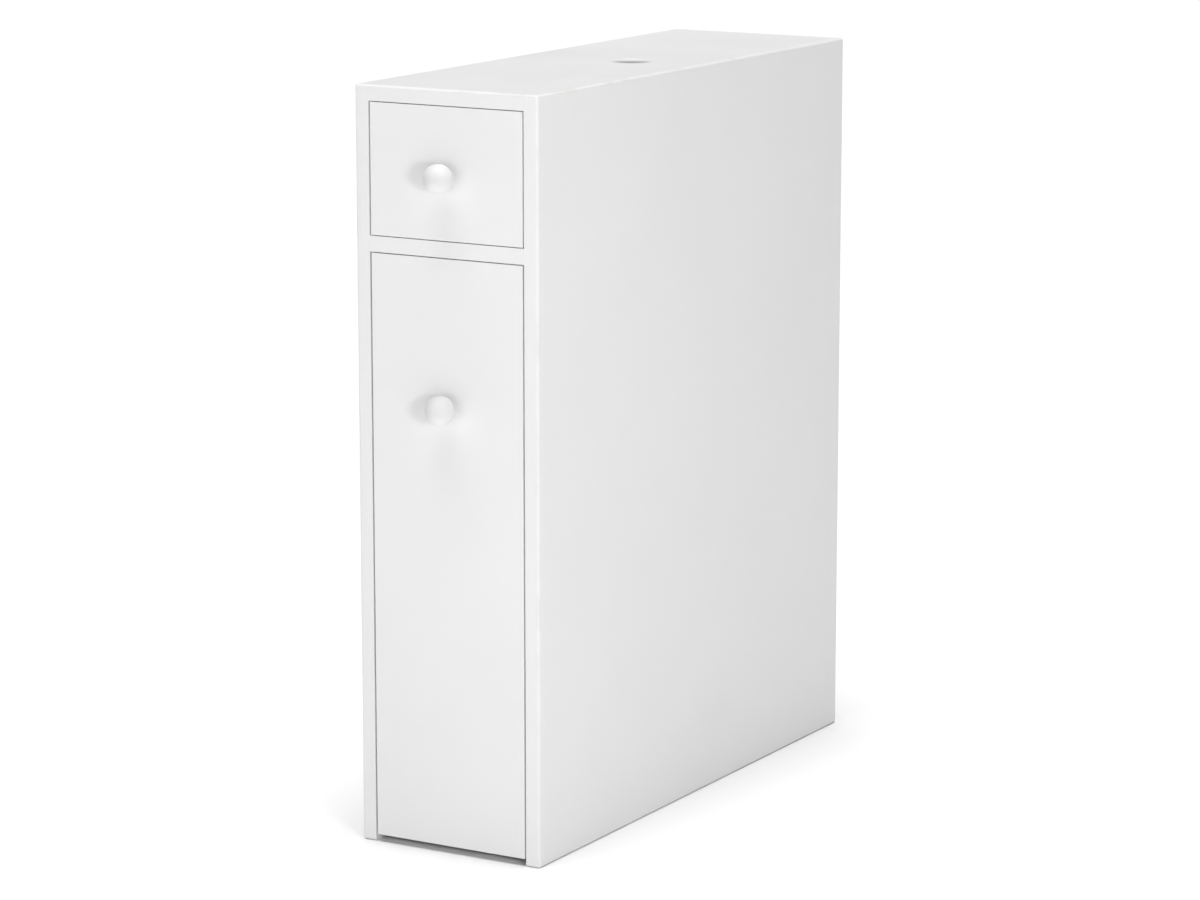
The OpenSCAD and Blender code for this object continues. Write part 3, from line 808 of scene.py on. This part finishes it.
def make_bumpers(node):
    parts = []
    for points in solids(node):
        found = Round(points, min, wide_end_first)
        parts.append((bumper(found.radius, found.length), found.matrix))
    show(gather(parts, node), node)


make_guide_pads()
for bumper_node in ("drawer_bumpers", "pullout_bumpers"):
    make_bumpers(bumper_node)


# ---------------------------------------------------------------- rollers, axles and brackets

ALONG_X = Matrix.Rotation(math.pi / 2, 4, "Y")
BORE = 2.55 * MM
RIVET_HEAD = 1.2 * MM


def make_roller(corner):
    """A moulded wheel: hub, thin web with six ribs, and a rim with a rounded tread."""
    node = f"roller_{corner}"
    low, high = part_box(node)
    radius, half = (high.z - low.z) / 2, (high.x - low.x) / 2
    hub, rim, ease, lip = 5.5 * MM, radius - 2.6 * MM, 1.5 * MM, 0.4 * MM
    tread, web = half - MM, 2.6 * MM
    side = [(BORE, half - lip), (BORE + lip, half), (hub - lip, half), (hub, half - lip),
            (hub + lip, web), (rim - lip, web), (rim, tread - lip), (rim + lip, tread)]
    side += arc((radius - ease, tread - ease), ease, 90, 0)
    mirrored = [(r, -h) for r, h in reversed(side)]
    mesh = to_mesh(lathe(side + mirrored, segments=72, closed=True), "wheel")
    ribs, thick, deep = 6, 0.7 * MM, tread - 1.2 * MM
    section = ((-thick, -deep), (thick, -deep), (thick, deep), (-thick, deep))
    rib = to_mesh(loft([[(r, y, z) for y, z in section] for r in (hub - lip, rim + lip)]), "rib")
    fan = gather([(rib, Matrix.Rotation(2 * math.pi * i / ribs, 4, "Z")) for i in range(ribs)], "ribs")
    bm = bmesh.new()
    bm.from_mesh(boolean(mesh, fan, "UNION"))
    mark_edge(bm, lambda face: face.calc_center_median().xy.length > radius - 0.6 * MM)
    bm.transform(Matrix.Translation((low + high) / 2) @ ALONG_X)
    show(to_mesh(bm, node), node)


def make_axle(corner):
    """A riveted axle with a domed head at each end."""
    node = f"axle_{corner}"
    low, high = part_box(node)
    half, head = (high.x - low.x) / 2, (high.z - low.z) / 2
    bar, foot, steps = 2.5 * MM, 0.3 * MM, 8
    seat = half - RIVET_HEAD
    upper = [(bar, seat), (head, seat)]
    for i in range(steps + 1):
        angle = math.pi / 2 * i / steps
        upper.append((head * math.cos(angle), seat + foot + (RIVET_HEAD - foot) * math.sin(angle)))
    lower = [(r, -h) for r, h in reversed(upper)]
    bm = lathe(lower + upper, segments=40)
    bm.transform(Matrix.Translation((low + high) / 2) @ ALONG_X)
    show(to_mesh(bm, node), node)


def stamped(outline, holes, thickness):
    """A flat plate in XY, centred on z = 0, with round holes and eased edges."""
    ease = 0.2 * MM
    curve = bpy.data.curves.new("stamped", "CURVE")
    curve.dimensions = "2D"
    curve.fill_mode = "BOTH"
    curve.extrude = thickness / 2 - ease
    curve.bevel_depth = ease
    curve.bevel_resolution = 2
    curve.offset = -ease
    rounds = [[(x + px, y + py) for px, py in arc((0, 0), radius, 0, 360, steps=32)[:-1]]
              for x, y, radius in holes]
    for loop in [outline] + rounds:
        spline = curve.splines.new("POLY")
        spline.points.add(len(loop) - 1)
        for point, (x, y) in zip(spline.points, loop):
            point.co = (x, y, 0, 1)
        spline.use_cyclic_u = True
    plate = bpy.data.objects.new("stamped", curve)
    bpy.context.scene.collection.objects.link(plate)
    bm = bmesh.new()
    bm.from_mesh(baked(plate))
    bmesh.ops.remove_doubles(bm, verts=bm.verts, dist=TINY)
    return to_mesh(bm, "stamped")


def make_bracket(corner):
    """A pressed bracket: a screwed plate, and two ears bent down from it that hold the axle."""
    node = f"bracket_{corner}"
    low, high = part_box(node)
    axle_low, axle_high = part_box(f"axle_{corner}")
    axle = (axle_low + axle_high) / 2
    sheet, corner_r, bend_r = 1.5 * MM, 3 * MM, 1.1 * MM
    half_x, half_y = (high.x - low.x) / 2, (high.y - low.y) / 2
    rounded = []
    for sx, sy, start in ((1, 1, 0), (-1, 1, 90), (-1, -1, 180), (1, -1, 270)):
        rounded += arc((sx * (half_x - corner_r), sy * (half_y - corner_r)), corner_r, start, start + 90)
    screws = [Round(points, max, wide_end_first).centre - axle for points in solids("bracket_screws")]
    holes = [(p.x, p.y, 1.85 * MM) for p in screws if abs(p.x) < half_x and abs(p.y) < half_y]
    parts = [(stamped(rounded, holes, sheet), Matrix.Translation((axle.x, axle.y, high.z - sheet / 2)))]
    ear_half = axle.z - low.z
    ear_top = high.z - sheet - axle.z
    tongue = [(ear_half, ear_top), (-ear_half, ear_top)] + arc((0, 0), ear_half, 180, 360, steps=24)
    ear = stamped(tongue, [(0, 0, BORE)], sheet)
    upright = Matrix(((0, 0, 1, 0), (1, 0, 0, 0), (0, 1, 0, 0), (0, 0, 0, 1)))
    fillet = [(0, 0), (bend_r, 0)] + arc((bend_r, -bend_r), bend_r, 90, 180)[1:]
    bend = to_mesh(loft([[(x, y, z) for x, z in fillet] for y in (-ear_half, ear_half)]), "bend")
    ear_x = (axle_high.x - axle_low.x) / 2 - RIVET_HEAD - sheet / 2
    for side in (-1, 1):
        parts.append((ear, Matrix.Translation((axle.x + side * ear_x, axle.y, axle.z)) @ upright))
        for face in (-1, 1):
            root = Vector((axle.x + side * ear_x + face * sheet / 2, axle.y, axle.z + ear_top))
            parts.append((bend, Matrix.Translation(root) @ Matrix.Scale(face, 4, X)))
    show(gather(parts, node), node)


for corner_name in ("front_left", "front_right", "rear_left", "rear_right"):
    make_roller(corner_name)
    make_axle(corner_name)
    make_bracket(corner_name)


# ---------------------------------------------------------------- stage, light and camera

def floor_paper():
    """Matt white paper with a barely visible tooth."""
    s = Shader("floor_paper", Specular_IOR_Level=0)
    cloud = s.noise(0.8, detail=1)
    s.colour(s.ramp(cloud, (0.3, (0.885, 0.885, 0.885)), (0.7, (0.892, 0.892, 0.892))))
    s.roughness(s.spread(cloud, 0.3, 0.7, 0.85, 0.95))
    s.bump((s.noise(600, detail=2), 0.00001))
    return s.material


def make_floor():
    reach, clearance = 60, 0.1 * MM
    bm = bmesh.new()
    bmesh.ops.create_grid(bm, x_segments=1, y_segments=1, size=reach)
    floor = bpy.data.objects.new("floor", to_mesh(bm, "floor"))
    floor.location.z = CAD_LOW.z - clearance
    floor.data.materials.append(floor_paper())
    bpy.context.scene.collection.objects.link(floor)


def direction(azimuth, elevation):
    """Away from the object. Azimuth 0 is straight in front and 90 is at its right."""
    a, e = math.radians(azimuth), math.radians(elevation)
    return Vector((math.sin(a) * math.cos(e), -math.cos(a) * math.cos(e), math.sin(e)))


def put(thing, name, aim, away, distance):
    """Places a light or camera so that it looks at the aim from the given direction."""
    holder = bpy.data.objects.new(name, thing)
    holder.location = aim + away * distance
    holder.rotation_mode = "QUATERNION"
    holder.rotation_quaternion = away.to_track_quat("Z", "Y")
    bpy.context.scene.collection.objects.link(holder)
    return holder


def softbox(name, away, distance, size, power):
    """A square area light aimed at the middle of the front."""
    light = bpy.data.lights.new(name, "AREA")
    light.shape = "SQUARE"
    light.size = size
    light.energy = power
    put(light, name, Vector((0, CASE_LOW.y, CAD_HIGH.z / 2)), away, distance)


def make_world():
    """A dim white room that shows as plain white behind the floor's far edge."""
    world = bpy.data.worlds.new("studio")
    world.use_nodes = True
    nodes, links = world.node_tree.nodes, world.node_tree.links
    lit, shown = nodes["Background"], nodes.new("ShaderNodeBackground")
    for background, strength in ((lit, 0.07), (shown, 1)):
        background.inputs["Color"].default_value = (1, 1, 1, 1)
        background.inputs["Strength"].default_value = strength
    choice = nodes.new("ShaderNodeMixShader")
    links.new(nodes.new("ShaderNodeLightPath").outputs["Is Camera Ray"], choice.inputs["Fac"])
    links.new(lit.outputs["Background"], choice.inputs[1])
    links.new(shown.outputs["Background"], choice.inputs[2])
    links.new(choice.outputs["Shader"], nodes["World Output"].inputs["Surface"])
    bpy.context.scene.world = world


def make_light():
    """A soft light from above, a key at the front right and a fill in front."""
    overhead = bpy.data.lights.new("overhead", "SUN")
    overhead.energy = 3.4
    overhead.angle = math.radians(40)
    put(overhead, "overhead", Vector((0, 0, 0)), Z, 3)
    softbox("key", direction(54, 7.5), distance=1.7, size=0.3, power=9.5)
    softbox("fill", direction(-12, 4), distance=3, size=2, power=20)


def make_camera():
    """The photograph's viewing angle: from the front right, looking a little down."""
    camera = bpy.data.cameras.new("camera")
    camera.sensor_width = 36
    camera.lens = 124.028
    camera.clip_end = 200
    azimuth, elevation, distance = 30.137, 11.308, 3.272
    aim = (CAD_LOW + CAD_HIGH) / 2 + Vector((-0.0015, -0.005, -0.018))
    bpy.context.scene.camera = put(camera, "camera", aim, direction(azimuth, elevation), distance)


make_floor()
make_world()
make_light()
make_camera()
bpy.context.scene.view_settings.view_transform = "Standard"
